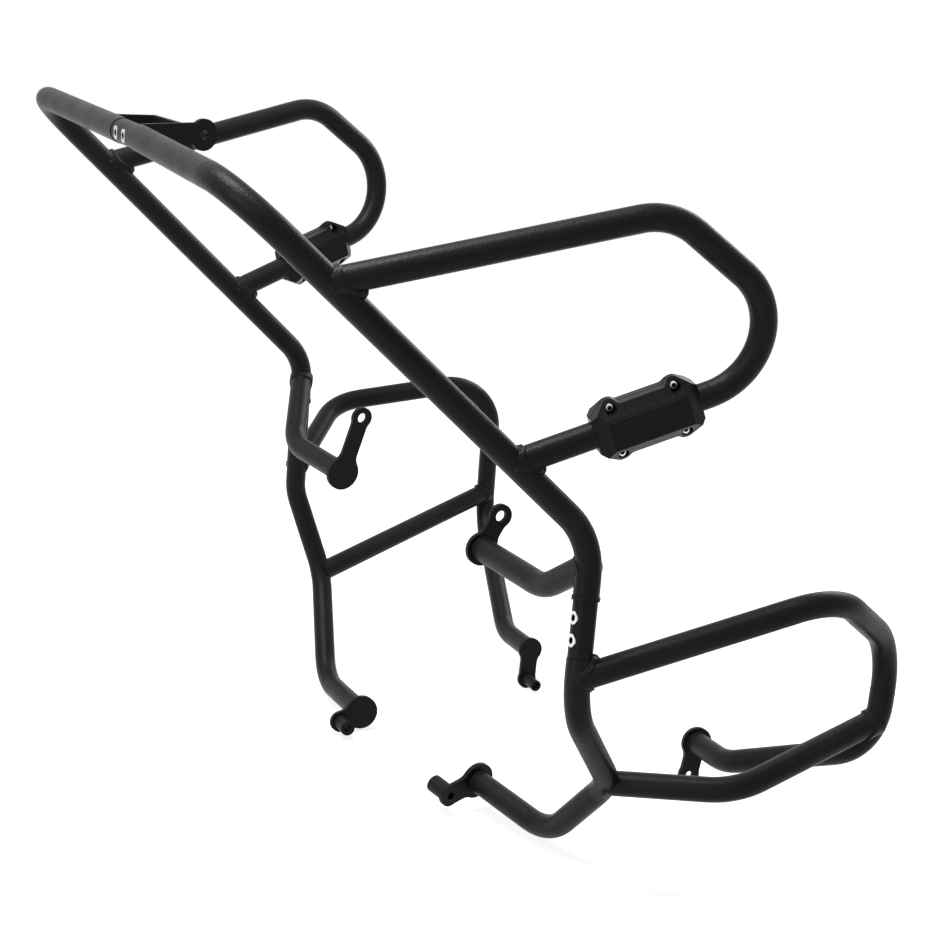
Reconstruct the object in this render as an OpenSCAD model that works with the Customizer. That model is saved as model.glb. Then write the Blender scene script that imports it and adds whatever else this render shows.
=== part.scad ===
// Crash bars for a motorcycle: a left and a right tube frame, joined at the front and bolted to the engine.
// Every point is [out, back, up]: out from the centre plane, back from the middle, up from the lowest tab.

/* [Tube] */
// Outer diameter of every bar
tube_d = 25; // [22:0.5:28]
// Wall thickness of every bar
tube_wall = 2; // [1.5:0.5:3]
// Centreline radius of every bend
bend_r = 65; // [55:1:68]
// How far a weld stands proud of the bar it runs round
weld_h = 2; // [1:0.5:3]
// How far a weld reaches along the bar it runs round
weld_w = 4; // [2:0.5:6]

/* [Front bar] */
// How far back the front bar lies on the centre plane
front_back = -331; // [-345:1:-317]
// Height of the front bar on the centre plane
front_up = 727; // [700:1:750]
// Left shoulder bend
l_shoulder = [338, -337, 722]; // [-600:1:900]
// Right shoulder bend
r_shoulder = [338, -330, 727]; // [-600:1:900]

/* [Upper bars] */
// Left bend where the upper bar turns down to its joint
l_foot = [364, 10, 405]; // [-600:1:900]
// Right bend where the upper bar turns down to its joint
r_foot = [364, 11, 404]; // [-600:1:900]
// First bend of each upper loop
loop_bend = [411, 33, 713]; // [-600:1:900]
// Rear bend of each upper loop
loop_tip = [437, 199, 591]; // [-600:1:900]
// Where each loop leaves the upper bar, as a share of its slope
loop_from = 0.242; // [0.2:0.01:0.35]
// Where the left loop comes back to the upper bar
l_loop_to = 0.76; // [0.65:0.01:0.8]
// Where the right loop comes back to the upper bar
r_loop_to = 0.72; // [0.65:0.01:0.8]

/* [Upper mounts] */
// How far below the foot bend each mount arm leaves the bar
arm_drop = 24; // [15:1:28]
// Left arm bend
l_arm_bend = [298, 2, 335]; // [-600:1:900]
// Left arm end
l_arm_end = [176, -2, 333]; // [-600:1:900]
// Right arm bend
r_arm_bend = [274, -32, 321]; // [-600:1:900]
// Right arm end
r_arm_end = [157, -18, 318]; // [-600:1:900]

/* [Left lower bars] */
// Left lower bar, first bend below the joint
l_lower_1 = [398, -13, 248]; // [-600:1:900]
// Left lower bar, second bend
l_lower_2 = [343, 68, 140]; // [-600:1:900]
// Left lower bar, third bend
l_lower_3 = [258, 56, 45]; // [-600:1:900]
// Left lower bar, end at its mount
l_lower_end = [142, 31, 54]; // [-600:1:900]
// Left lower loop, first bend
l_low_loop_1 = [466, 221, 363]; // [-600:1:900]
// Left lower loop, second bend
l_low_loop_2 = [405, 343, 279]; // [-600:1:900]
// Left lower loop, third bend
l_low_loop_3 = [423, 325, 174]; // [-600:1:900]
// Left lower loop, fourth bend
l_low_loop_4 = [261, 266, 95]; // [-600:1:900]
// Left lower loop, end at the rear mount
l_low_loop_end = [197, 273, 88]; // [-600:1:900]
// Bend of the left brace
l_brace_bend = [429, 157, 157]; // [-600:1:900]

/* [Right lower bars] */
// Right lower bar, first bend below the joint
r_lower_1 = [373, 12, 228]; // [-600:1:900]
// Right lower bar, second bend
r_lower_2 = [347, 43, 122]; // [-600:1:900]
// Right lower bar, third bend
r_lower_3 = [247, 14, 16]; // [-600:1:900]
// Right lower bar, end at its mount
r_lower_end = [120, 6, 28]; // [-600:1:900]
// Right lower loop, first bend
r_low_loop_1 = [471, 103, 315]; // [-600:1:900]
// Right lower loop, second bend
r_low_loop_2 = [441, 325, 345]; // [-600:1:900]
// Right lower loop, third bend
r_low_loop_3 = [452, 331, 139]; // [-600:1:900]
// Right lower loop, fourth bend
r_low_loop_4 = [266, 277, 45]; // [-600:1:900]
// Right lower loop, end at the rear mount
r_low_loop_end = [187, 270, 51]; // [-600:1:900]

/* [Lower loops and braces] */
// Distance from the foot bend to the left lower loop, along the bar
l_low_loop_drop = 130; // [126:1:140]
// Distance from the foot bend to the right lower loop, along the bar
r_low_loop_drop = 143; // [126:1:150]
// Share of the loop's third bend where the left brace meets it
l_brace_at = 0.22; // [0:0.01:0.5]
// Share of the loop's third bend where the right brace meets it
r_brace_at = 0.04; // [0:0.01:0.5]

/* [Sleeve joints] */
// Length of the bare section between the two bars
joint_len = 54; // [46:1:60]
// Diameter of the bare section
joint_d = 23.6; // [20:0.2:24.4]
// Length of the spigot inside each bar
spigot_len = 22; // [15:1:28]
// Clearance between a spigot and its bar
spigot_gap = 0.1; // [0.05:0.05:0.3]
// Where the middle of the front joint lies, out to the left
front_joint_out = 31; // [-40:1:60]
// Distance from the foot bend to the middle of a lower joint
lower_joint_drop = 84; // [80:1:90]
// Distance between the bolts of the front joint
front_bolt_pitch = 25; // [18:0.5:28]
// Distance between the bolts of a lower joint
lower_bolt_pitch = 21; // [18:0.5:28]
// Thread diameter of the joint bolts
joint_bolt_d = 8; // [6:1:8]
// Head diameter of the joint bolts
joint_head_d = 12.6; // [10:0.2:13]
// Head height of the joint bolts
joint_head_h = 7; // [5:0.5:8]

/* [Mount plates] */
// Thickness of the mount plates
plate_t = 5; // [3:0.5:8]
// Bolt hole in the upper mount plates
upper_hole_d = 12; // [8:0.5:13]
// Bolt hole in the lower and rear mounts
lower_hole_d = 8.5; // [6:0.5:11]
// Round head of the left upper plate, diameter
l_upper_head_d = 35; // [30:1:44]
// Round head of the right upper plate, diameter
r_upper_head_d = 40; // [30:1:44]
// Eye of the upper plates, diameter
upper_eye_d = 25; // [20:1:30]
// Reach of the left upper plate, back and up
l_upper_reach = [19, 33]; // [-80:1:80]
// Reach of the right upper plate, back and up
r_upper_reach = [21, 65]; // [-80:1:80]
// Round head of the lower plates, diameter
lower_head_d = 40; // [30:1:46]
// Eye of the lower plates, diameter
lower_eye_d = 25; // [20:1:30]
// Reach of the left lower plate, back and up
l_lower_reach = [-36, -8]; // [-80:1:80]
// Reach of the right lower plate, back and up
r_lower_reach = [-26, -9]; // [-80:1:80]
// Diameter of the left lower spacer
l_spacer_d = 19.4; // [14:0.2:24]
// Diameter of the right lower spacer
r_spacer_d = 17; // [14:0.2:24]
// Length of the lower spacers
spacer_len = 25; // [10:1:40]
// Round head of the left rear plate, diameter
l_rear_head_d = 35; // [30:1:44]
// Round head of the right rear plate, diameter
r_rear_head_d = 31; // [30:1:44]
// Eye of the rear plates, diameter
rear_eye_d = 24; // [18:1:28]
// Reach of the left rear plate, back and up
l_rear_reach = [-8, -36]; // [-80:1:80]
// Reach of the right rear plate, back and up
r_rear_reach = [-3, -39]; // [-80:1:80]
// Diameter of the bush on the right rear plate
rear_bush_d = 14; // [12:0.2:22]
// Length of the bush on the right rear plate
rear_bush_len = 28; // [10:1:40]

/* [Front bracket] */
// Thickness of the folded bracket
bracket_t = 4; // [2:0.5:6]
// Height of the bracket's legs
bracket_h = 21; // [16:1:24]
// How high the bracket's legs stand above the axis of the front bar
bracket_rise = 10; // [6:0.5:11]
// Left leg where it meets the bar, out from the centre plane
bracket_left = 36; // [20:1:60]
// Right leg where it meets the bar, out from the centre plane
bracket_right = -48; // [-80:1:-20]
// Fold where the bracket's tab begins, out and behind the front bar
bracket_fold = [18, 53]; // [-90:1:120]
// Corner of the bracket's right leg, out and behind the front bar
bracket_corner = [-45, 46]; // [-90:1:120]
// Middle of the tab's eye, out and behind the front bar
tab_eye = [10, 78]; // [-90:1:120]
// Diameter of the tab's eye
tab_eye_d = 31; // [24:1:40]
// How far the tab's eye lies below the axis of the front bar
tab_drop = 2; // [-10:1:10]
// Bolt hole in the tab
tab_hole_d = 8.5; // [6:0.5:11]

/* [Sliders] */
// Distance from the slider's middle to the loop's lower end
slider_at = 128; // [110:1:132]
// Length of a slider
slider_len = 104; // [90:1:112]
// Height of a slider between its bevels
slider_h = 50; // [40:1:60]
// Depth of the outer half from the bar's axis
slider_out = 25; // [18:0.5:32]
// Depth of the inner half from the bar's axis
slider_in = 19; // [16:0.5:26]
// Width of the bevel round each half
slider_bevel = 9; // [4:0.5:12]
// Gap between the two halves
slider_gap = 3; // [1:0.5:5]
// Distance between bolts along a slider
slider_pitch = 64; // [50:1:72]
// Distance between bolts across a slider
slider_rows = 50; // [44:1:54]
// Diameter of the boss round each bolt
slider_boss_d = 13; // [11:0.5:16]
// Length of the raised panel
panel_len = 78; // [60:1:84]
// Height of the raised panel
panel_h = 32; // [24:1:36]
// How far the raised panel stands out
panel_rise = 1.5; // [0.5:0.5:3]
// Thread diameter of a slider bolt
slider_bolt_d = 5; // [4:0.5:6]
// Turn of each slider about its bar
slider_roll = 5; // [-10:1:20]

/* [Hidden] */

$fn = 48;
black = [0.07, 0.07, 0.075];
gloss = [0.03, 0.03, 0.032];
steel = [0.75, 0.75, 0.76];

tube_r = tube_d / 2;
bore_r = tube_r - tube_wall;
// A bar draws down by this much where it is bent, and its straights reach this far into the bend
draw = 0.1;
lap = 0.5;
joint_r = joint_d / 2;
spigot_r = bore_r - spigot_gap;
seat_gap = 0.3;
// Left between flat faces that meet, and between a slider and its bar
face_gap = 0.03;
clamp_gap = 0.1;
front = [0, -1, 0];
up = [0, 0, 1];
inward = [-1, 0, 0];

// Points, directions and bends
function unit(v) = v / norm(v);
function ahead(p, q, d) = p + d * unit(q - p);
function mix(p, q, t) = p + t * (q - p);
function turn(a, b, c) = acos(unit(b - a) * unit(c - b));
function setback(a, b, c) = bend_r * tan(turn(a, b, c) / 2);
function bend_side(a, b, c) = let (u = unit(b - a), v = unit(c - b)) unit(v - (v * u) * u);
function bend_centre(a, b, c) = ahead(b, a, setback(a, b, c)) + bend_r * bend_side(a, b, c);
// A point on the centreline of a bend, at share t of its turn
function bend_point(a, b, c, t) = let (g = t * turn(a, b, c))
    bend_centre(a, b, c) + bend_r * (sin(g) * unit(b - a) - cos(g) * bend_side(a, b, c));

// The corners of each bar, for the left side or the right one
function shoulder(left) = left ? l_shoulder : r_shoulder;
function foot(left) = left ? l_foot : r_foot;
function lower_1(left) = left ? l_lower_1 : r_lower_1;
function joint_mid(left) = ahead(foot(left), lower_1(left), lower_joint_drop);
function joint_axis(left) = unit(lower_1(left) - foot(left));
function joint_top(left) = joint_mid(left) - joint_len / 2 * joint_axis(left);
function joint_base(left) = joint_mid(left) + joint_len / 2 * joint_axis(left);
function front_mid(left) = [left ? front_joint_out : -front_joint_out, front_back, front_up];
function front_start(left) = front_mid(left) + [joint_len / 2 + (left ? seat_gap : 0), 0, 0];
function upper_path(left) = [front_start(left), shoulder(left), foot(left), joint_top(left)];
function loop_start(left) = mix(shoulder(left), foot(left), loop_from);
function loop_stop(left) = mix(shoulder(left), foot(left), left ? l_loop_to : r_loop_to);
function loop_path(left) = [loop_start(left), loop_bend, loop_tip, loop_stop(left)];
function arm_path(left) = [
    ahead(foot(left), lower_1(left), arm_drop),
    left ? l_arm_bend : r_arm_bend,
    left ? l_arm_end : r_arm_end
];
function lower_path(left) = left
    ? [joint_base(true), l_lower_1, l_lower_2, l_lower_3, l_lower_end]
    : [joint_base(false), r_lower_1, r_lower_2, r_lower_3, r_lower_end];
function low_loop_start(left) = ahead(foot(left), lower_1(left), left ? l_low_loop_drop : r_low_loop_drop);
function low_loop_path(left) = left
    ? [low_loop_start(true), l_low_loop_1, l_low_loop_2, l_low_loop_3, l_low_loop_4, l_low_loop_end]
    : [low_loop_start(false), r_low_loop_1, r_low_loop_2, r_low_loop_3, r_low_loop_4, r_low_loop_end];
function brace_path(left) = let (p = lower_path(left), q = low_loop_path(left), a = bend_point(p[1], p[2], p[3], 0.5),
    b = bend_point(q[2], q[3], q[4], left ? l_brace_at : r_brace_at))
    left ? [a, l_brace_bend, b] : [a, b];

// Stands its children at p, with their Z along w and their X as near to v as it goes
module stand(p, w, v = up) {
    z = unit(w);
    x = unit(v - (v * z) * z);
    y = cross(z, x);
    multmatrix([
        [x[0], y[0], z[0], p[0]],
        [x[1], y[1], z[1], p[1]],
        [x[2], y[2], z[2], p[2]],
        [0, 0, 0, 1]
    ]) children();
}

module side(left) {
    if (left) children();
    else mirror([1, 0, 0]) children();
}

module rod(p, q, r) {
    stand(p, q - p, abs(unit(q - p)[2]) < 0.9 ? up : front) cylinder(h = norm(q - p), r = r);
}

module elbow(a, b, c, r) {
    e1 = -bend_side(a, b, c);
    e2 = unit(b - a);
    e3 = cross(e1, e2);
    m = bend_centre(a, b, c);
    multmatrix([
        [e1[0], e2[0], e3[0], m[0]],
        [e1[1], e2[1], e3[1], m[1]],
        [e1[2], e2[2], e3[2], m[2]],
        [0, 0, 0, 1]
    ]) rotate_extrude(angle = turn(a, b, c)) translate([bend_r, 0]) circle(r = r);
}

// The straight of a bar from corner i of its path p to the next, and its bend at corner i
module straight(p, i, r, tip = 0) {
    last = len(p) - 1;
    from = i == 0 ? ahead(p[0], p[1], -tip) : ahead(p[i], p[i + 1], setback(p[i - 1], p[i], p[i + 1]) - lap);
    to = i == last - 1 ? ahead(p[last], p[i], -tip)
        : ahead(p[i + 1], p[i], setback(p[i], p[i + 1], p[i + 2]) - lap);
    rod(from, to, r);
}

module bend(p, i, r) {
    elbow(p[i - 1], p[i], p[i + 1], r - draw);
}

// A round bar of radius r that follows the corners of its path p
module run(p, r, tip = 0) {
    for (i = [0 : len(p) - 2]) straight(p, i, r, tip);
    for (i = [1 : 1 : len(p) - 2]) bend(p, i, r);
}

// The weld where a bar that starts at p towards q meets a bar along a to b
module tee_weld(p, q, a, b) {
    intersection() {
        rod(p, ahead(p, q, 3 * tube_d), tube_r + weld_h);
        rod(ahead(p, a, 2 * tube_d), ahead(p, b, 2 * tube_d), tube_r + weld_w);
    }
}

// The weld where a bar that comes from q ends at p on a plate
module end_weld(p, q) {
    stand(ahead(p, q, face_gap), q - p) cylinder(h = weld_w, r = tube_r + weld_h / 2);
}

module upper_bar(left) {
    p = upper_path(left);
    side(left) difference() {
        union() {
            run(p, tube_r);
            stand(ahead(p[3], p[2], face_gap), p[2] - p[3]) cylinder(h = weld_w, r = tube_r + weld_h / 2);
        }
        run(p, bore_r, 1);
    }
}

module upper_loop(left) {
    p = loop_path(left);
    side(left) difference() {
        union() {
            run(p, tube_r);
            tee_weld(p[0], p[1], shoulder(left), foot(left));
            tee_weld(p[3], p[2], shoulder(left), foot(left));
        }
        run(p, bore_r, 1);
        straight(upper_path(left), 1, tube_r);
    }
}

module mount_arm(left) {
    p = arm_path(left);
    side(left) difference() {
        union() {
            run(p, tube_r);
            tee_weld(p[0], p[1], foot(left), lower_1(left));
            end_weld(p[2], p[1]);
        }
        run(p, bore_r, 1);
        bend(upper_path(left), 2, tube_r);
        straight(upper_path(left), 2, tube_r);
    }
}

module lower_bar(left) {
    p = lower_path(left);
    side(left) difference() {
        union() {
            run(p, tube_r);
            end_weld(p[4], p[3]);
        }
        run(p, bore_r, 1);
    }
}

module lower_loop(left) {
    p = low_loop_path(left);
    side(left) difference() {
        union() {
            run(p, tube_r);
            tee_weld(p[0], p[1], foot(left), lower_1(left));
            end_weld(p[5], p[4]);
        }
        run(p, bore_r, 1);
        straight(lower_path(left), 0, tube_r);
        bend(lower_path(left), 1, tube_r);
        rod(joint_base(left), joint_top(left), tube_r + weld_h);
    }
}

module brace(left) {
    p = brace_path(left);
    q = lower_path(left);
    w = low_loop_path(left);
    last = len(p) - 1;
    side(left) difference() {
        union() {
            run(p, tube_r);
            tee_weld(p[0], p[1], mix(p[0], q[1], 1), p[0] + q[3] - q[1]);
            tee_weld(p[last], p[last - 1], w[2], p[last] + w[3] - w[2]);
        }
        run(p, bore_r, 1);
        bend(q, 2, tube_r);
        straight(w, 2, tube_r);
        bend(w, 3, tube_r);
    }
}

// Blank of a mount plate: a round head, an eye at a distance and a waist with hollow shoulders
module plate_blank(head_d, eye_d, reach, waist) {
    h = waist / 2;
    f = 0.6 * eye_d;
    a = shoulder_at(head_d / 2, h, f);
    b = reach - shoulder_at(eye_d / 2, h, f);
    cylinder(h = plate_t, d = head_d);
    translate([reach, 0, 0]) cylinder(h = plate_t, d = eye_d);
    difference() {
        linear_extrude(plate_t) polygon([
            [0, 0], shoulder_root(head_d / 2, a, h + f), [a, h + f], [a, h], [b, h], [b, h + f],
            [reach, 0] + flip(shoulder_root(eye_d / 2, reach - b, h + f)), [reach, 0],
            [reach, 0] - shoulder_root(eye_d / 2, reach - b, h + f), [b, -h - f], [b, -h], [a, -h], [a, -h - f],
            -flip(shoulder_root(head_d / 2, a, h + f))
        ]);
        for (x = [a, b], y = [-h - f, h + f]) translate([x, y, -1]) cylinder(h = plate_t + 2, r = f + face_gap);
    }
}

// How far from a round end's middle the hollow of radius f beside a waist of half height h has its centre
function shoulder_at(r, h, f) = r > h ? sqrt((r + f) * (r + f) - (h + f) * (h + f)) : 0;
// A point a little inside the round end, towards that centre
function shoulder_root(r, x, y) = 0.9 * r * unit([x, y]);
function flip(v) = [-v[0], v[1]];

// A mount plate on the end p of a bar that comes from q, reaching back and up by reach
module mount_plate(p, q, reach, head_d, eye_d, waist, hole_d) {
    w = unit(p - q);
    a = [0, reach[0], reach[1]];
    v = a - (a * w) * w;
    stand(p, w, v) difference() {
        plate_blank(head_d, eye_d, norm(reach), waist);
        translate([norm(reach), 0, -1]) cylinder(h = plate_t + 2, d = hole_d);
    }
}

// A round spacer on the inner face of such a plate, round its hole
module plate_spacer(p, q, reach, d, length, hole_d) {
    w = unit(p - q);
    a = [0, reach[0], reach[1]];
    v = a - (a * w) * w;
    stand(p + plate_t * w, w, v) translate([norm(reach), 0, 0]) difference() {
        cylinder(h = length, d = d);
        translate([0, 0, -1]) cylinder(h = length + 2, d = hole_d);
    }
}

module upper_plate(left) {
    p = arm_path(left);
    side(left) mount_plate(p[2], p[1], left ? l_upper_reach : r_upper_reach,
        left ? l_upper_head_d : r_upper_head_d, upper_eye_d, 0.8 * upper_eye_d, upper_hole_d);
}

module lower_plate(left) {
    p = lower_path(left);
    side(left) mount_plate(p[4], p[3], left ? l_lower_reach : r_lower_reach,
        lower_head_d, lower_eye_d, 0.96 * lower_eye_d, lower_hole_d);
}

module lower_spacer(left) {
    p = lower_path(left);
    side(left) plate_spacer(p[4], p[3], left ? l_lower_reach : r_lower_reach,
        left ? l_spacer_d : r_spacer_d, spacer_len, lower_hole_d);
}

module rear_plate(left) {
    p = low_loop_path(left);
    side(left) mount_plate(p[5], p[4], left ? l_rear_reach : r_rear_reach,
        left ? l_rear_head_d : r_rear_head_d, rear_eye_d, 0.9 * rear_eye_d, lower_hole_d);
}

module rear_spacer() {
    p = low_loop_path(false);
    side(false) plate_spacer(p[5], p[4], r_rear_reach, rear_bush_d, rear_bush_len, lower_hole_d);
}

// Half of a sleeve joint in its own frame: the middle at the origin, the bar that carries it below,
// the bolts along X. The seat half has the pockets for the bolt heads, the other half takes the threads.
module joint_half(pitch, seat) {
    difference() {
        translate([0, 0, face_gap - joint_len / 2]) cylinder(h = joint_len - seat_gap - face_gap, r = joint_r);
        translate([seat ? -joint_d : 0, -joint_d, -joint_len]) cube([joint_d, 2 * joint_d, 2 * joint_len]);
        for (z = [-pitch / 2, pitch / 2]) translate([0, 0, z]) rotate([0, 90, 0]) {
            translate([0, 0, -joint_d]) cylinder(h = 2 * joint_d, d = joint_bolt_d + (seat ? seat_gap : 0));
            if (seat) translate([0, 0, joint_r - joint_head_h]) cylinder(h = joint_d, d = joint_head_d + seat_gap);
        }
    }
}

// The spigot that carries a half, inside the bar that runs from p towards q
module spigot(p, q) {
    stand(p, q - p) translate([0, 0, -seat_gap]) cylinder(h = spigot_len + seat_gap, r = spigot_r);
}

// Socket-head bolts of a joint, along X
module joint_bolt_pair(pitch) {
    for (z = [-pitch / 2, pitch / 2]) translate([0, 0, z]) rotate([0, 90, 0]) difference() {
        union() {
            translate([0, 0, joint_r - joint_head_h]) cylinder(h = joint_head_h - 0.4, d = joint_head_d);
            translate([0, 0, -joint_r + 1.5]) cylinder(h = 2 * joint_r - joint_head_h - 1.5, d = joint_bolt_d);
        }
        translate([0, 0, joint_r - joint_head_h / 2]) cylinder(h = joint_head_h, d = 0.57 * joint_head_d, $fn = 6);
    }
}

module front_half(left) {
    stand(front_mid(true), left ? inward : -inward, front) joint_half(front_bolt_pitch, left);
    side(left) difference() {
        spigot(front_start(left), shoulder(left));
        translate(front_mid(left)) translate([-joint_len, -joint_d, -joint_d])
            cube([1.5 * joint_len - seat_gap, 2 * joint_d, 2 * joint_d]);
    }
}

module lower_half(left, above) {
    p = joint_mid(left);
    w = joint_axis(left);
    side(left) {
        stand(p, above ? w : -w, front) joint_half(lower_bolt_pitch, above);
        if (above) spigot(joint_top(left), foot(left));
        else spigot(joint_base(left), lower_1(left));
    }
}

// A strip that stands on its edge along the points p, out and back, below the height top
module strip(p, top, height) {
    translate([0, 0, top - height]) linear_extrude(height) for (i = [0 : len(p) - 2]) {
        d = unit(p[i + 1] - p[i]) * bracket_t / 2;
        n = [-d[1], d[0]];
        polygon([p[i] + n, p[i] - n, p[i + 1] - n, p[i + 1] + n]);
        if (i > 0) translate(p[i]) circle(d = bracket_t);
    }
}

// A point of the bracket, out and behind the front bar
function behind(p) = [p[0], front_back + p[1]];
// Square to the tab, towards the right leg
function tab_across() = let (d = tab_eye - bracket_fold) [-d[1], d[0], 0];

module bracket_leg_body() {
    top = front_up + bracket_rise;
    difference() {
        strip([[bracket_right, front_back], behind(bracket_corner), behind(bracket_fold)], top, bracket_h);
        stand(concat(behind(bracket_fold), 0), tab_across())
            translate([top - bracket_h - 1, -tab_eye_d, bracket_t / 2 + clamp_gap - tab_eye_d])
                cube([bracket_h + 2, 2 * tab_eye_d, tab_eye_d]);
        run(upper_path(false), tube_r);
        mirror([1, 0, 0]) run(upper_path(false), tube_r);
    }
}

module bracket_tab_body() {
    top = front_up + bracket_rise;
    fold = behind(bracket_fold);
    eye = behind(tab_eye);
    reach = norm(eye - fold);
    difference() {
        union() {
            strip([[bracket_left, front_back], fold], top, bracket_h);
            translate([fold[0], fold[1], top - bracket_h]) cylinder(h = bracket_h, d = bracket_t);
            stand(concat(fold, 0), tab_across()) translate([0, 0, -bracket_t / 2]) linear_extrude(bracket_t) {
                translate([top - bracket_h, 0]) square([bracket_h, reach]);
                translate([front_up - tab_drop, reach]) circle(d = tab_eye_d);
            }
        }
        stand(concat(eye, front_up - tab_drop), tab_across())
            translate([0, 0, -bracket_t]) cylinder(h = 2 * bracket_t, d = tab_hole_d);
    }
}

module slider_frame(left) {
    p = loop_path(left);
    mid = ahead(p[3], p[2], slider_at);
    side(left) stand(mid, p[2] - p[3], [1, 0, 0]) rotate([0, 0, slider_roll]) children();
}

// One half of a slider in its own frame: Z along the bar, X outwards, Y up or down
module slider_half(depth, outer) {
    l = slider_len / 2;
    h = slider_h / 2;
    b = slider_bevel;
    g = slider_gap / 2;
    difference() {
        union() {
            intersection() {
                rotate([90, 0, 0]) translate([0, 0, -slider_h]) linear_extrude(2 * slider_h)
                    polygon([[g, -l], [depth - b, -l], [depth, -l + 1.4 * b], [depth, l - 1.4 * b], [depth - b, l], [g, l]]);
                translate([0, 0, -slider_len]) linear_extrude(2 * slider_len)
                    polygon([[g, -h], [depth - 1.4 * b, -h], [depth, -h + b], [depth, h - b], [depth - 1.4 * b, h], [g, h]]);
            }
            for (y = [-1, 1], z = [-1, 1]) translate([g, y * slider_rows / 2, z * slider_pitch / 2])
                rotate([0, 90, 0]) cylinder(h = depth * 0.55 - g, d = slider_boss_d);
            if (outer) translate([depth - 1, -panel_h / 2, -panel_len / 2])
                cube([1 + panel_rise, panel_h, panel_len]);
        }
        translate([0, 0, -slider_len]) cylinder(h = 2 * slider_len, r = tube_r + clamp_gap);
        for (y = [-1, 1], z = [-1, 1]) translate([0, y * slider_rows / 2, z * slider_pitch / 2])
            rotate([0, 90, 0]) {
                cylinder(h = depth, d = slider_bolt_d + seat_gap);
                translate([0, 0, depth * 0.55 - 2]) cylinder(h = depth, d = 1.9 * slider_bolt_d);
            }
    }
}

module slider_bolt_set() {
    seat_out = slider_out * 0.55 - 2;
    seat_in = slider_in * 0.55 - 2;
    for (y = [-1, 1], z = [-1, 1]) translate([0, y * slider_rows / 2, z * slider_pitch / 2]) rotate([0, 90, 0]) {
        difference() {
            union() {
                translate([0, 0, seat_out]) cylinder(h = slider_bolt_d, d = 1.7 * slider_bolt_d);
                translate([0, 0, -seat_in - 0.1]) cylinder(h = seat_in + seat_out + 0.2, d = slider_bolt_d);
            }
            translate([0, 0, seat_out + slider_bolt_d / 2]) cylinder(h = slider_bolt_d, d = 0.9 * slider_bolt_d, $fn = 6);
        }
        translate([0, 0, -seat_in - slider_bolt_d]) cylinder(h = slider_bolt_d, d = 1.7 * slider_bolt_d);
    }
}

module upper_bar_left() { color(black) upper_bar(true); }
module upper_bar_right() { color(black) upper_bar(false); }
module upper_loop_left() { color(black) upper_loop(true); }
module upper_loop_right() { color(black) upper_loop(false); }
module mount_arm_left() { color(black) mount_arm(true); }
module mount_arm_right() { color(black) mount_arm(false); }
module upper_plate_left() { color(black) upper_plate(true); }
module upper_plate_right() { color(black) upper_plate(false); }
module lower_bar_left() { color(black) lower_bar(true); }
module lower_bar_right() { color(black) lower_bar(false); }
module lower_loop_left() { color(black) lower_loop(true); }
module lower_loop_right() { color(black) lower_loop(false); }
module brace_left() { color(black) brace(true); }
module brace_right() { color(black) brace(false); }
module lower_plate_left() { color(black) lower_plate(true); }
module lower_plate_right() { color(black) lower_plate(false); }
module lower_spacer_left() { color(black) lower_spacer(true); }
module lower_spacer_right() { color(black) lower_spacer(false); }
module rear_plate_left() { color(black) rear_plate(true); }
module rear_plate_right() { color(black) rear_plate(false); }
module rear_bush() { color(black) rear_spacer(); }
module front_joint_left() { color(black) front_half(true); }
module front_joint_right() { color(black) front_half(false); }
module front_joint_bolts() { color(steel) stand(front_mid(true), inward, front) joint_bolt_pair(front_bolt_pitch); }
module joint_upper_left() { color(black) lower_half(true, true); }
module joint_lower_left() { color(black) lower_half(true, false); }
module joint_upper_right() { color(black) lower_half(false, true); }
module joint_lower_right() { color(black) lower_half(false, false); }
module joint_bolts(left) {
    color(steel) side(left) stand(joint_mid(left), joint_axis(left), front) joint_bolt_pair(lower_bolt_pitch);
}
module joint_bolts_left() { joint_bolts(true); }
module joint_bolts_right() { joint_bolts(false); }
module bracket_leg() { color(black) bracket_leg_body(); }
module bracket_tab() {
    color(black) difference() {
        bracket_tab_body();
        rod(front_mid(true) + [joint_len, 0, 0], front_mid(true) - [joint_len, 0, 0], tube_r);
    }
}
module slider_outer(left) { color(gloss) slider_frame(left) slider_half(slider_out, true); }
module slider_inner(left) { color(gloss) slider_frame(left) mirror([1, 0, 0]) slider_half(slider_in, false); }
module slider_bolts(left) { color(steel) slider_frame(left) slider_bolt_set(); }
module slider_outer_left() { slider_outer(true); }
module slider_outer_right() { slider_outer(false); }
module slider_inner_left() { slider_inner(true); }
module slider_inner_right() { slider_inner(false); }
module slider_bolts_left() { slider_bolts(true); }
module slider_bolts_right() { slider_bolts(false); }

upper_bar_left();
upper_bar_right();
upper_loop_left();
upper_loop_right();
mount_arm_left();
mount_arm_right();
upper_plate_left();
upper_plate_right();
lower_bar_left();
lower_bar_right();
lower_loop_left();
lower_loop_right();
brace_left();
brace_right();
lower_plate_left();
lower_plate_right();
lower_spacer_left();
lower_spacer_right();
rear_plate_left();
rear_plate_right();
rear_bush();
front_joint_left();
front_joint_right();
front_joint_bolts();
joint_upper_left();
joint_lower_left();
joint_bolts_left();
joint_upper_right();
joint_lower_right();
joint_bolts_right();
bracket_leg();
bracket_tab();
slider_outer_left();
slider_inner_left();
slider_bolts_left();
slider_outer_right();
slider_inner_right();
slider_bolts_right();
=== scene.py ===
import math

import bmesh
import bpy
from mathutils import Matrix, Vector


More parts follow.
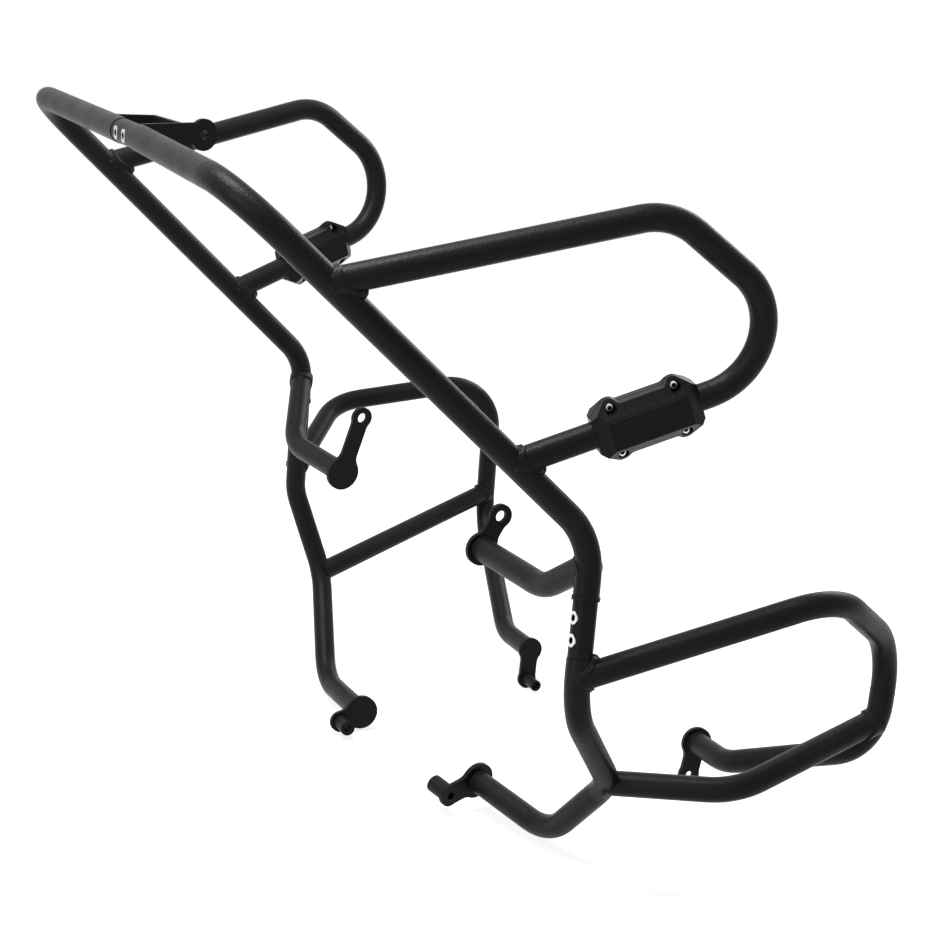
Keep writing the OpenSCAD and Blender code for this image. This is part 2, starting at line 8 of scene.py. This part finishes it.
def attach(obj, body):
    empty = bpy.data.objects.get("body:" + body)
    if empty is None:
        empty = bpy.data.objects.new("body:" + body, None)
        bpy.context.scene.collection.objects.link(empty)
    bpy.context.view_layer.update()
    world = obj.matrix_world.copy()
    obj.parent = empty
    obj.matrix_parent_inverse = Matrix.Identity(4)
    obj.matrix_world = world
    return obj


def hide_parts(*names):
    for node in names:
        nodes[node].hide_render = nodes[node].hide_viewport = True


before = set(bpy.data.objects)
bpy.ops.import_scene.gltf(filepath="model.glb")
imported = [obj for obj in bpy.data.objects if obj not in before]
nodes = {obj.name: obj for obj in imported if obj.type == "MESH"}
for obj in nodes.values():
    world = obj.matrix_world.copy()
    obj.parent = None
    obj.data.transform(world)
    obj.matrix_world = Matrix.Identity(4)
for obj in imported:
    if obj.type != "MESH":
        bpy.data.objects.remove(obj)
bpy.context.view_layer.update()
scene = bpy.context.scene

# Camera, from the perspective of the photograph: position in metres, lens for a 36 mm wide frame
CAMERA_AT = (1.73477, -0.83432, 0.93024)
CAMERA_RIGHT = (0.444375, 0.893292, 0.067533)
CAMERA_DOWN = (0.280963, -0.067392, -0.95735)
CAMERA_AHEAD = (-0.850641, 0.444397, -0.280929)
LENS_MM = 70.1
# Floor under the bars' resting points: height at the middle and slope along X
FLOOR_Z = 0.0107
FLOOR_SLOPE = 0.0587
# Specular level of the powder coat
COAT_SPECULAR = 0.09
# One millimetre in the scene's metres
MM = 0.001


def node_tree(mat):
    """The material's tree, emptied, with its nodes and links."""
    mat.use_nodes = True
    tree = mat.node_tree
    tree.nodes.clear()
    return tree, tree.nodes, tree.links


def noise(tree, coords, scale, detail=2.0, roughness=0.5):
    """Noise between 0 and 1, with about scale grains per metre."""
    n = tree.nodes.new("ShaderNodeTexNoise")
    n.inputs["Scale"].default_value = scale
    n.inputs["Detail"].default_value = detail
    n.inputs["Roughness"].default_value = roughness
    tree.links.new(coords, n.inputs["Vector"])
    return n.outputs["Fac"]


def ramp(tree, fac, stops):
    """Colours, or plain values, between the given stops."""
    r = tree.nodes.new("ShaderNodeValToRGB")
    els = r.color_ramp.elements
    while len(els) < len(stops):
        els.new(0.5)
    for el, (pos, col) in zip(els, stops):
        el.position = pos
        el.color = (*col, 1.0) if not isinstance(col, float) else (col, col, col, 1.0)
    tree.links.new(fac, r.inputs["Fac"])
    return r.outputs["Color"]


def bump(tree, height, distance, strength, below=None):
    """Normals of a height map, laid over the normals below where there are any."""
    b = tree.nodes.new("ShaderNodeBump")
    b.inputs["Distance"].default_value = distance
    b.inputs["Strength"].default_value = strength
    tree.links.new(height, b.inputs["Height"])
    if below is not None:
        tree.links.new(below, b.inputs["Normal"])
    return b.outputs["Normal"]


def shader(mat, specular, metallic=0.0):
    """A principled shader on an empty tree, with the object's own coordinates."""
    tree, new, link = node_tree(mat)
    coords = new.new("ShaderNodeTexCoord").outputs["Object"]
    bsdf = new.new("ShaderNodeBsdfPrincipled")
    bsdf.inputs["Specular IOR Level"].default_value = specular
    bsdf.inputs["Metallic"].default_value = metallic
    link.new(bsdf.outputs["BSDF"], new.new("ShaderNodeOutputMaterial").inputs["Surface"])
    return tree, link, coords, bsdf


def soft_edges(tree, radius):
    """Normals rounded over sharp edges by the given radius in metres."""
    b = tree.nodes.new("ShaderNodeBevel")
    b.samples = 4
    b.inputs["Radius"].default_value = radius
    return b.outputs["Normal"]


def powder_coat(name, low, high, rough, grain, edge):
    """Satin black powder coat: a fine orange-peel skin, its tone and sheen slightly uneven."""
    mat = bpy.data.materials.new(name)
    tree, link, coords, bsdf = shader(mat, specular=COAT_SPECULAR)
    tone = noise(tree, coords, scale=9.0, detail=4.0, roughness=0.6)
    link.new(ramp(tree, tone, [(0.3, low), (0.7, high)]), bsdf.inputs["Base Color"])
    sheen = noise(tree, coords, scale=34.0, detail=3.0, roughness=0.6)
    uneven = ramp(tree, sheen, [(0.3, rough - 0.04), (0.7, rough + 0.05)])
    link.new(uneven, bsdf.inputs["Roughness"])
    fine = noise(tree, coords, scale=1600.0, roughness=0.6)
    peel = noise(tree, coords, scale=450.0)
    n = bump(tree, fine, distance=0.00012, strength=grain, below=soft_edges(tree, edge))
    n = bump(tree, peel, distance=0.00038, strength=grain, below=n)
    link.new(n, bsdf.inputs["Normal"])
    return mat


def moulded_plastic(name):
    """Glossy black plastic with a faint flow waviness and a slightly uneven gloss."""
    mat = bpy.data.materials.new(name)
    tree, link, coords, bsdf = shader(mat, specular=0.08)
    tone = noise(tree, coords, scale=30.0, detail=3.0)
    link.new(ramp(tree, tone, [(0.3, (0.004, 0.0044, 0.0042)), (0.7, (0.0085, 0.0092, 0.0088))]),
             bsdf.inputs["Base Color"])
    gloss = noise(tree, coords, scale=160.0, detail=4.0, roughness=0.7)
    link.new(ramp(tree, gloss, [(0.35, 0.18), (0.75, 0.32)]), bsdf.inputs["Roughness"])
    wave = noise(tree, coords, scale=60.0, detail=1.0)
    n = bump(tree, wave, distance=0.0005, strength=0.12)
    skin = noise(tree, coords, scale=1400.0)
    n = bump(tree, skin, distance=0.0001, strength=0.12, below=n)
    link.new(n, bsdf.inputs["Normal"])
    return mat


def machined_steel(name):
    """Bright stainless steel, with painted shade that darkens its recesses."""
    mat = bpy.data.materials.new(name)
    tree, link, coords, bsdf = shader(mat, specular=0.5, metallic=1.0)
    tone = noise(tree, coords, scale=300.0, detail=3.0)
    bright = ramp(tree, tone, [(0.3, (0.6, 0.59, 0.57)), (0.7, (0.78, 0.77, 0.75))])
    # Painted shade: ambient occlusion darkens the base colour in recesses such as the hexagon
    # sockets
    occlusion = tree.nodes.new("ShaderNodeAmbientOcclusion")
    occlusion.samples = 8
    occlusion.inputs["Distance"].default_value = 0.006
    link.new(bright, occlusion.inputs["Color"])
    painted_shade = ramp(tree, occlusion.outputs["AO"], [(0.45, 0.03), (0.85, 1.0)])
    mix = tree.nodes.new("ShaderNodeMix")
    mix.data_type = "RGBA"
    mix.blend_type = "MULTIPLY"
    mix.inputs["Factor"].default_value = 1.0
    link.new(occlusion.outputs["Color"], mix.inputs["A"])
    link.new(painted_shade, mix.inputs["B"])
    link.new(mix.outputs["Result"], bsdf.inputs["Base Color"])
    gloss = noise(tree, coords, scale=900.0, detail=3.0)
    link.new(ramp(tree, gloss, [(0.3, 0.2), (0.7, 0.34)]), bsdf.inputs["Roughness"])
    brushed = noise(tree, coords, scale=2500.0, detail=1.0)
    link.new(bump(tree, brushed, distance=0.00005, strength=0.2), bsdf.inputs["Normal"])
    return mat


# Darkest and lightest tone, roughness, strength of the grain, and rounding of the edges in metres
coat = powder_coat(
    "powder_coat_bars", (0.0058, 0.0058, 0.0061), (0.0105, 0.0104, 0.0107), 0.37, 0.85, 0.0012)
coat_plate = powder_coat(
    "powder_coat_plates", (0.006, 0.006, 0.0063), (0.0092, 0.0092, 0.0095), 0.44, 0.4, 0.0009)
coat_joint = powder_coat(
    "powder_coat_joints", (0.0055, 0.0055, 0.0058), (0.0085, 0.0085, 0.0088), 0.38, 0.3, 0.0005)
plastic = moulded_plastic("slider_plastic")
steel = machined_steel("bolt_steel")


def dress(obj, mat):
    """The material goes in every slot of the object."""
    mesh = obj.data
    if not mesh.materials:
        mesh.materials.append(mat)
    for i in range(len(mesh.materials)):
        mesh.materials[i] = mat


for name, obj in nodes.items():
    if "bolts" in name:
        dress(obj, steel)
    elif name.startswith("slider"):
        dress(obj, plastic)
    elif "plate" in name or "bracket" in name or "spacer" in name or "bush" in name:
        dress(obj, coat_plate)
    elif "joint" in name:
        dress(obj, coat_joint)
    else:
        dress(obj, coat)


# Sliders, in millimetres: z runs along the bar, x out through the panel and y across.
# Each half is a prism on the slider's outline, cut to sloped sides and bored for bar and bolts.

# Where each upper loop comes back to its bar, and its rear corner, which the slider's bar runs to
LOOP_STOPS = {"left": (357.76, -73.28, 481.08), "right": (356.72, -84.48, 494.44)}
LOOP_TIP = (437.0, 199.0, 591.0)
# Distance of the slider's middle from that stop, and its turn about the bar in degrees
SLIDER_AT = 125.0
SLIDER_ROLL = -5.0
# Outline: half length, half width at the ends and at the waist, and the ears at the corners
HALF_LENGTH = 50.0
END_HALF = 16.5
WAIST_HALF = 24.2
WAIST_FILLET = 5.0
EAR_AT = (30.5, 22.0)
EAR_R = 8.0
EAR_STEPS = 12
FILLET_STEPS = 6
EARS = [(z * EAR_AT[0], y * EAR_AT[1]) for z in (-1, 1) for y in (-1, 1)]
# The bare panel: half sizes, rise over the sides, and how its block sits in the shell
PANEL_HALF = (37.5, 14.5)
PANEL_RISE = 1.1
PANEL_INSET = 0.2
PANEL_FOOT = 2.0
# Half of the gap between the two halves
PARTING = 0.5
BORE_R = 12.62
BORE_STEPS = 64
POCKET_R = 5.2
SHANK_HOLE_R = 2.7
# How far the cutting shapes reach past what they cut
PAST = 1.0
PAST_ROOF = 5.0
PAST_POCKET = 9.0
# Height of the panel's edges, of the rim and of the pockets' floor over the bar's axis
OUTER = {"depth": 21.0, "rim": 10.0, "seat": 2.0}
INNER = {"depth": 20.0, "rim": 9.0, "seat": 1.0}
# Bolts and nuts: head, hexagon socket, shank, tip and hexagon. What is past or back is
# measured from the seat that the nut sits on, away from the head or towards it.
SEAT_GAP = 0.05
HEAD_H = 4.6
HEAD_CHAMFER = 0.4
HEAD_RADII = (3.5, 4.1, 4.25)
SOCKET_R = 2.3
SOCKET_DEPTH = 2.6
SHANK_R = 2.45
SHANK_PAST = 4.6
TIP_R = 1.9
TIP_PAST = 5.2
NUT_R = 4.5
NUT_H = 3.8
THREAD_R = 2.46
THREAD_PAST = 6.0
THREAD_BACK = 3.0
# Rounding of the shells' edges, in metres
SHELL_EDGE = 0.0007


def placed(name, data):
    """A new object of the scene with the given data."""
    obj = bpy.data.objects.new(name, data)
    scene.collection.objects.link(obj)
    return obj


def new_mesh(name, verts, faces):
    """An object from points in millimetres, its faces turned outwards."""
    mesh = bpy.data.meshes.new(name)
    mesh.from_pydata([Vector(v) * MM for v in verts], [], faces)
    bm = bmesh.new()
    bm.from_mesh(mesh)
    bmesh.ops.recalc_face_normals(bm, faces=bm.faces)
    bm.to_mesh(mesh)
    bm.free()
    return placed(name, mesh)


def band(low, high, n):
    """Faces between two rings of n points, given the index of each ring's first point."""
    return [(low + i, low + (i + 1) % n, high + (i + 1) % n, high + i) for i in range(n)]


def bridge(name, low, high):
    """The closed solid between two rings of equally many points."""
    n = len(low)
    ends = [tuple(range(n)), tuple(range(2 * n - 1, n - 1, -1))]
    return new_mesh(name, low + high, ends + band(0, n, n))


def prism(name, ring, low, high):
    """The closed ring of (z, y) points, drawn out along x from low to high."""
    return bridge(name, *[[(x, y, z) for z, y in ring] for x in (low, high)])


def frustum(name, low, low_half, high, high_half):
    """A block between two rectangles with half sizes (z, y), at x = low and x = high."""
    corners = ((-1, -1), (1, -1), (1, 1), (-1, 1))
    return bridge(name, *[[(x, b * y, a * z) for z, y in corners]
                          for x, (a, b) in ((low, low_half), (high, high_half))])


def arc(centre, radius, start, end, steps):
    """Points on an arc between two angles in degrees, both ends included."""
    turns = [math.radians(start + (end - start) * i / steps) for i in range(steps + 1)]
    return [(centre[0] + radius * math.cos(g), centre[1] + radius * math.sin(g)) for g in turns]


def circle(centre, radius, steps):
    """Points round a circle, the first on the first axis."""
    turns = [2 * math.pi * i / steps for i in range(steps)]
    return [(centre[0] + radius * math.cos(g), centre[1] + radius * math.sin(g)) for g in turns]


def slider_outline():
    """Waist, four ears and tapered ends, as a ring of (z, y)."""
    ez, ey = HALF_LENGTH - EAR_AT[0], END_HALF - EAR_AT[1]
    tangent = math.degrees(math.atan2(ey, ez) + math.acos(EAR_R / math.hypot(ez, ey)))
    up = WAIST_HALF + WAIST_FILLET - EAR_AT[1]
    back = math.sqrt((EAR_R + WAIST_FILLET) ** 2 - up ** 2)
    meet = math.degrees(math.atan2(up, -back))
    quarter = [(HALF_LENGTH, END_HALF)] + arc(EAR_AT, EAR_R, tangent, meet, EAR_STEPS)
    hollow = (EAR_AT[0] - back, EAR_AT[1] + up)
    quarter += arc(hollow, WAIST_FILLET, meet - 180.0, -90.0, FILLET_STEPS)[1:]
    left = [(-z, y) for z, y in reversed(quarter)]
    top = quarter + left
    return top + [(-z, -y) for z, y in top]


def rod(name, radius, x0, x1, at, steps=40):
    """A round rod along x at (z, y) = at."""
    return prism(name, circle(at, radius, steps), x0, x1)


def bar_bore(name):
    """The bar's bore along z."""
    ring = circle((0.0, 0.0), BORE_R, BORE_STEPS)
    reach = 2 * HALF_LENGTH
    return bridge(name, *[[(x, y, z) for x, y in ring] for z in (-reach, reach)])


def combine(base, other, operation):
    """The base's mesh becomes its exact boolean with the other, which is removed."""
    mod = base.modifiers.new("boolean", "BOOLEAN")
    mod.operation = operation
    mod.solver = "EXACT"
    mod.object = other
    graph = bpy.context.evaluated_depsgraph_get()
    mesh = bpy.data.meshes.new_from_object(base.evaluated_get(graph))
    base.modifiers.clear()
    base.data = mesh
    bpy.data.objects.remove(other)
    return base


def slider_half(name, half):
    """One half of a slider: sloped sides round a raised panel, and a pocket in each ear."""
    depth, rim, seat = half["depth"], half["rim"], half["seat"]
    a, b = PANEL_HALF
    along = (HALF_LENGTH - a) / (depth - rim) * depth
    across = (WAIST_HALF - b) / (depth - rim) * depth
    inset = (a - PANEL_INSET, b - PANEL_INSET)
    top = (a - PANEL_INSET - PANEL_RISE, b - PANEL_INSET - PANEL_RISE)
    body = prism(name, slider_outline(), PARTING, depth + PAST_ROOF)
    combine(body, frustum("roof", 0.0, (a + along, b + across), depth, (a, b)), "INTERSECT")
    combine(body, frustum("panel", depth - PANEL_FOOT, inset, depth + PANEL_RISE, top), "UNION")
    combine(body, bar_bore("bore"), "DIFFERENCE")
    for at in EARS:
        pocket = rod("pocket", POCKET_R, seat, depth + PAST_POCKET, at)
        combine(body, pocket, "DIFFERENCE")
        hole = rod("shank_hole", SHANK_HOLE_R, -PAST, seat + PAST, at, steps=24)
        combine(body, hole, "DIFFERENCE")
    return body


def lathe(name, profile, at, steps=32):
    """Turned solid about x: its profile of (x, radius) starts and ends on the axis."""
    verts = [(profile[0][0], at[1], at[0])]
    for x, r in profile[1:-1]:
        verts += [(x, y, z) for z, y in circle(at, r, steps)]
    verts.append((profile[-1][0], at[1], at[0]))
    rows = len(profile) - 2
    faces = [(0, 1 + i, 1 + (i + 1) % steps) for i in range(steps)]
    for k in range(rows - 1):
        faces += band(1 + k * steps, 1 + (k + 1) * steps, steps)
    last = 1 + (rows - 1) * steps
    faces += [(len(verts) - 1, last + (i + 1) % steps, last + i) for i in range(steps)]
    return new_mesh(name, verts, faces)


def slider_bolts(name):
    """Four socket-head bolts and their hexagon nuts, along x."""
    made = []
    floor = OUTER["seat"] + SEAT_GAP
    top = OUTER["seat"] + HEAD_H
    nut = -INNER["seat"]
    flat, chamfer, side = HEAD_RADII
    profile = [(top, 0.0), (top, flat), (top - HEAD_CHAMFER, chamfer), (floor, side),
               (floor, SHANK_R), (nut - SHANK_PAST, SHANK_R), (nut - TIP_PAST, TIP_R),
               (nut - TIP_PAST, 0.0)]
    for at in EARS:
        bolt = lathe("bolt", profile, at)
        socket = rod("socket", SOCKET_R, top - SOCKET_DEPTH, top + 2 * PAST, at, steps=6)
        made.append(combine(bolt, socket, "DIFFERENCE"))
        hexagon = rod("nut", NUT_R, nut - NUT_H, nut - SEAT_GAP, at, steps=6)
        thread = rod("thread", THREAD_R, nut - THREAD_PAST, nut + THREAD_BACK, at, steps=32)
        made.append(combine(hexagon, thread, "DIFFERENCE"))
    return join(name, made)


def join(name, parts):
    """One object from the parts, which are removed."""
    bm = bmesh.new()
    for part in parts:
        bm.from_mesh(part.data)
        bpy.data.objects.remove(part)
    mesh = bpy.data.meshes.new(name)
    bm.to_mesh(mesh)
    bm.free()
    return placed(name, mesh)


def slider_axes(side):
    """Matrix from a slider's own frame to the part's, in metres."""
    stop, tip = Vector(LOOP_STOPS[side]), Vector(LOOP_TIP)
    z = (tip - stop).normalized()
    x = (Vector((1, 0, 0)) - z * z.x).normalized()
    y = z.cross(x)
    turn = math.radians(SLIDER_ROLL)
    x, y = (math.cos(turn) * x + math.sin(turn) * y,
            math.cos(turn) * y - math.sin(turn) * x)
    at = (stop + SLIDER_AT * z) * MM
    m = Matrix([[x[i], y[i], z[i], at[i]] for i in range(3)] + [[0, 0, 0, 1]])
    return m if side == "left" else Matrix.Scale(-1, 4, (1, 0, 0)) @ m


# Edges that turn by more than this many degrees stay sharp, on the sliders and on a weld bead
SHARP = 28
BEAD_SHARP = 80
# Points closer than this many metres become one
MERGE_WITHIN = 0.000005
# Faces that differ by less than this many degrees become one
LEVEL_WITHIN = 0.5


def finish_piece(obj, mat, replaced=(), bevel=0.0, bead=False):
    """Cleans the mesh, rounds its edges, shades it by angle and hangs it on the part."""
    sharp = math.radians(BEAD_SHARP if bead else SHARP)
    bm = bmesh.new()
    bm.from_mesh(obj.data)
    bmesh.ops.remove_doubles(bm, verts=bm.verts, dist=MERGE_WITHIN)
    if not bead:
        bmesh.ops.dissolve_limit(
            bm, angle_limit=math.radians(LEVEL_WITHIN), verts=bm.verts, edges=bm.edges)
    bmesh.ops.recalc_face_normals(bm, faces=bm.faces)
    for face in bm.faces:
        face.smooth = True
    for edge in bm.edges:
        edge.smooth = len(edge.link_faces) == 2 and edge.calc_face_angle() < sharp
    bm.to_mesh(obj.data)
    bm.free()
    obj.data.materials.clear()
    obj.data.materials.append(mat)
    if bevel:
        mod = obj.modifiers.new("round_edges", "BEVEL")
        mod.width = bevel
        mod.segments = 2
        mod.limit_method = "ANGLE"
        mod.angle_limit = sharp
        mod.harden_normals = True
    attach(obj, "root")
    if replaced:
        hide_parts(*replaced)


# Weld beads where a bar leaves another one, in millimetres
BAR_R = 12.5
BEAD_R = 3.6
BEAD_SINK = 2.0
BEAD_STEPS = 176
BEAD_SIDES = 12
# The corner between the two bars counts as sharp where their mean normal is shorter than the
# first length, and fully so where it is shorter by the second
HEEL_FROM = 0.8
HEEL_SPAN = 0.4
# How much thicker the bead is in such a corner, and how far it lifts out of it
HEEL_GROWTH = 0.85
HEEL_LIFT = 2.6
# Number of ripples and of slow swells round a bead, and their share of its radius
RIPPLES, RIPPLE = 22, 0.07
SWELLS, SWELL, SWELL_PHASE = 5, 0.05, 1.3
# Two corners of the carrying bar, how far from the first to the second the other bar leaves it,
# and the corner that this one heads to
TEES = [
    ("upper_loop_front_left", (338, -337, 722), (364, 10, 405), 0.242, (411, 33, 713)),
    ("upper_loop_rear_left", (338, -337, 722), (364, 10, 405), 0.76, (437, 199, 591)),
    ("upper_loop_front_right", (-338, -330, 727), (-364, 11, 404), 0.242, (-411, 33, 713)),
    ("upper_loop_rear_right", (-338, -330, 727), (-364, 11, 404), 0.72, (-437, 199, 591)),
    ("lower_loop_left", (364, 10, 405), (398, -13, 248), 0.801, (466, 221, 363)),
    ("lower_loop_right", (-364, 11, 404), (-373, 12, 228), 0.8116, (-471, 103, 315)),
    ("mount_arm_left", (364, 10, 405), (398, -13, 248), 0.148, (298, 2, 335)),
    ("mount_arm_right", (-364, 11, 404), (-373, 12, 228), 0.136, (-274, -32, 321)),
]


def weld_bead(name, a, b, share, heads_to):
    """A rippled bead along the line where a bar that heads away meets the bar from a to b."""
    a, b = Vector(a), Vector(b)
    start = a + share * (b - a)
    along = (b - a).normalized()
    out = (Vector(heads_to) - start).normalized()
    e1 = (along - out * along.dot(out)).normalized()
    e2 = out.cross(e1)
    flat_out = out - along * out.dot(along)
    square = flat_out.dot(flat_out)
    centres = []
    for i in range(BEAD_STEPS):
        g = 2 * math.pi * i / BEAD_STEPS
        ring = BAR_R * (math.cos(g) * e1 + math.sin(g) * e2)
        flat = ring - along * ring.dot(along)
        mixed = flat.dot(flat_out)
        room = max(0.0, mixed ** 2 - square * (flat.dot(flat) - BAR_R ** 2))
        at = ring + out * ((math.sqrt(room) - mixed) / square)
        normal = (ring + at - along * at.dot(along)) / (2 * BAR_R)
        heel = max(0.0, HEEL_FROM - normal.length) / HEEL_SPAN
        lift = HEEL_LIFT * heel - BEAD_SINK * normal.length ** 2
        normal.normalize()
        centres.append((start + at + normal * lift, normal, 1 + HEEL_GROWTH * heel))
    verts = []
    for i, (centre, normal, growth) in enumerate(centres):
        way = (centres[(i + 1) % BEAD_STEPS][0] - centres[i - 1][0]).normalized()
        up = (normal - way * normal.dot(way)).normalized()
        across = way.cross(up)
        u = i / BEAD_STEPS
        r = BEAD_R * growth * (1 + RIPPLE * math.sin(2 * math.pi * RIPPLES * u)
                               + SWELL * math.sin(2 * math.pi * SWELLS * u + SWELL_PHASE))
        verts += [centre + r * (c * up + d * across)
                  for c, d in circle((0.0, 0.0), 1.0, BEAD_SIDES)]
    faces = []
    for i in range(BEAD_STEPS):
        faces += band(i * BEAD_SIDES, (i + 1) % BEAD_STEPS * BEAD_SIDES, BEAD_SIDES)
    return new_mesh("weld_" + name, verts, faces)


for name, a, b, share, heads_to in TEES:
    finish_piece(weld_bead(name, a, b, share, heads_to), coat, bead=True)

for side in ("left", "right"):
    axes = slider_axes(side)
    outer = slider_half("slider_shell_outer_" + side, OUTER)
    inner = slider_half("slider_shell_inner_" + side, INNER)
    inner.data.transform(Matrix.Scale(-1, 4, (1, 0, 0)))
    fasteners = slider_bolts("slider_fasteners_" + side)
    for obj in (outer, inner, fasteners):
        obj.data.transform(axes)
    finish_piece(outer, plastic, ["slider_outer_" + side], SHELL_EDGE)
    finish_piece(inner, plastic, ["slider_inner_" + side], SHELL_EDGE)
    finish_piece(fasteners, steel, ["slider_bolts_" + side])


# Studio: a pale floor on the plane that the bars rest on, and soft light
def seen_directly(tree):
    """1 for what the camera, a reflection or a clear surface sees, 0 for other light."""
    path = tree.nodes.new("ShaderNodeLightPath")
    total = path.outputs["Is Camera Ray"]
    for other in ("Is Glossy Ray", "Is Transmission Ray"):
        add = tree.nodes.new("ShaderNodeMath")
        add.operation = "MAXIMUM"
        tree.links.new(total, add.inputs[0])
        tree.links.new(path.outputs[other], add.inputs[1])
        total = add.outputs["Value"]
    return total


def scaled(tree, value, a, b):
    """value times a plus b"""
    m = tree.nodes.new("ShaderNodeMath")
    m.operation = "MULTIPLY_ADD"
    tree.links.new(value, m.inputs[0])
    m.inputs[1].default_value = a
    m.inputs[2].default_value = b
    return m.outputs["Value"]


# The floor's own glow: low where shadows fall, high towards the backdrop, and from where to
# where it changes, in metres from the middle
GLOW_NEAR = 0.8
GLOW_FAR = 0.97
GLOW_REACH = (0.45, 1.3)
FLOOR_GREY = (0.45, 0.45, 0.45, 1.0)
FLOOR_SIZE = 30.0
WHITE = (1.0, 1.0, 1.0, 1.0)

floor_mat = bpy.data.materials.new("studio_floor")
tree, new, link = node_tree(floor_mat)
out = new.new("ShaderNodeOutputMaterial")
diffuse = new.new("ShaderNodeBsdfDiffuse")
diffuse.inputs["Color"].default_value = FLOOR_GREY
glow = new.new("ShaderNodeEmission")
glow.inputs["Color"].default_value = WHITE
reach = new.new("ShaderNodeVectorMath")
reach.operation = "LENGTH"
link.new(new.new("ShaderNodeTexCoord").outputs["Object"], reach.inputs[0])
spread = new.new("ShaderNodeMapRange")
spread.interpolation_type = "SMOOTHSTEP"
spread.inputs["From Min"].default_value = GLOW_REACH[0]
spread.inputs["From Max"].default_value = GLOW_REACH[1]
spread.inputs["To Min"].default_value = GLOW_NEAR
spread.inputs["To Max"].default_value = GLOW_FAR
link.new(reach.outputs["Value"], spread.inputs["Value"])
lit = new.new("ShaderNodeMath")
lit.operation = "MULTIPLY"
link.new(spread.outputs["Result"], lit.inputs[0])
link.new(seen_directly(tree), lit.inputs[1])
link.new(lit.outputs["Value"], glow.inputs["Strength"])
both = new.new("ShaderNodeAddShader")
link.new(diffuse.outputs["BSDF"], both.inputs[0])
link.new(glow.outputs["Emission"], both.inputs[1])
link.new(both.outputs["Shader"], out.inputs["Surface"])

bpy.ops.mesh.primitive_plane_add(size=FLOOR_SIZE, location=(0.0, 0.0, FLOOR_Z))
floor = bpy.context.object
floor.name = "studio_floor"
floor.rotation_euler = (0.0, -math.atan(FLOOR_SLOPE), 0.0)
floor.data.materials.append(floor_mat)

# How strongly the white surroundings light the object
SKY_LIGHT = 0.06
world = bpy.data.worlds.new("studio")
scene.world = world
world.use_nodes = True
tree = world.node_tree
tree.nodes.clear()
sky = tree.nodes.new("ShaderNodeBackground")
sky.inputs["Color"].default_value = WHITE
world_out = tree.nodes.new("ShaderNodeOutputWorld")
strength = scaled(tree, seen_directly(tree), 1.0 - SKY_LIGHT, SKY_LIGHT)
tree.links.new(strength, sky.inputs["Strength"])
tree.links.new(sky.outputs["Background"], world_out.inputs["Surface"])


def softbox(name, at, aim, size, watts):
    """A rectangular light that faces the point it is aimed at."""
    light = bpy.data.lights.new(name, "AREA")
    light.shape = "RECTANGLE"
    light.size, light.size_y = size
    light.energy = watts
    obj = placed(name, light)
    obj.location = at
    obj.rotation_euler = (Vector(aim) - Vector(at)).to_track_quat("-Z", "Y").to_euler()


softbox("top_softbox", at=(0.0, -0.7, 2.5), aim=(0.0, 0.0, 0.35), size=(1.05, 1.05), watts=84.0)
softbox("left_softbox", at=(0.9, -2.6, 1.5), aim=(0.0, 0.0, 0.4), size=(1.0, 1.6), watts=26.0)
softbox("back_softbox", at=(-1.2, 2.2, 1.6), aim=(0.0, 0.0, 0.4), size=(1.2, 1.2), watts=26.0)

camera_data = bpy.data.cameras.new("camera")
camera_data.sensor_width = 36.0
camera_data.sensor_fit = "HORIZONTAL"
camera_data.lens = LENS_MM
camera_data.clip_end = 100.0
camera_data.dof.use_dof = False
camera = placed("camera", camera_data)
axes = [Vector(CAMERA_RIGHT), -Vector(CAMERA_DOWN), -Vector(CAMERA_AHEAD)]
turned = Matrix([[a[i] for a in axes] for i in range(3)]).to_4x4()
camera.matrix_world = Matrix.Translation(CAMERA_AT) @ turned
scene.camera = camera
scene.view_settings.view_transform = "Standard"
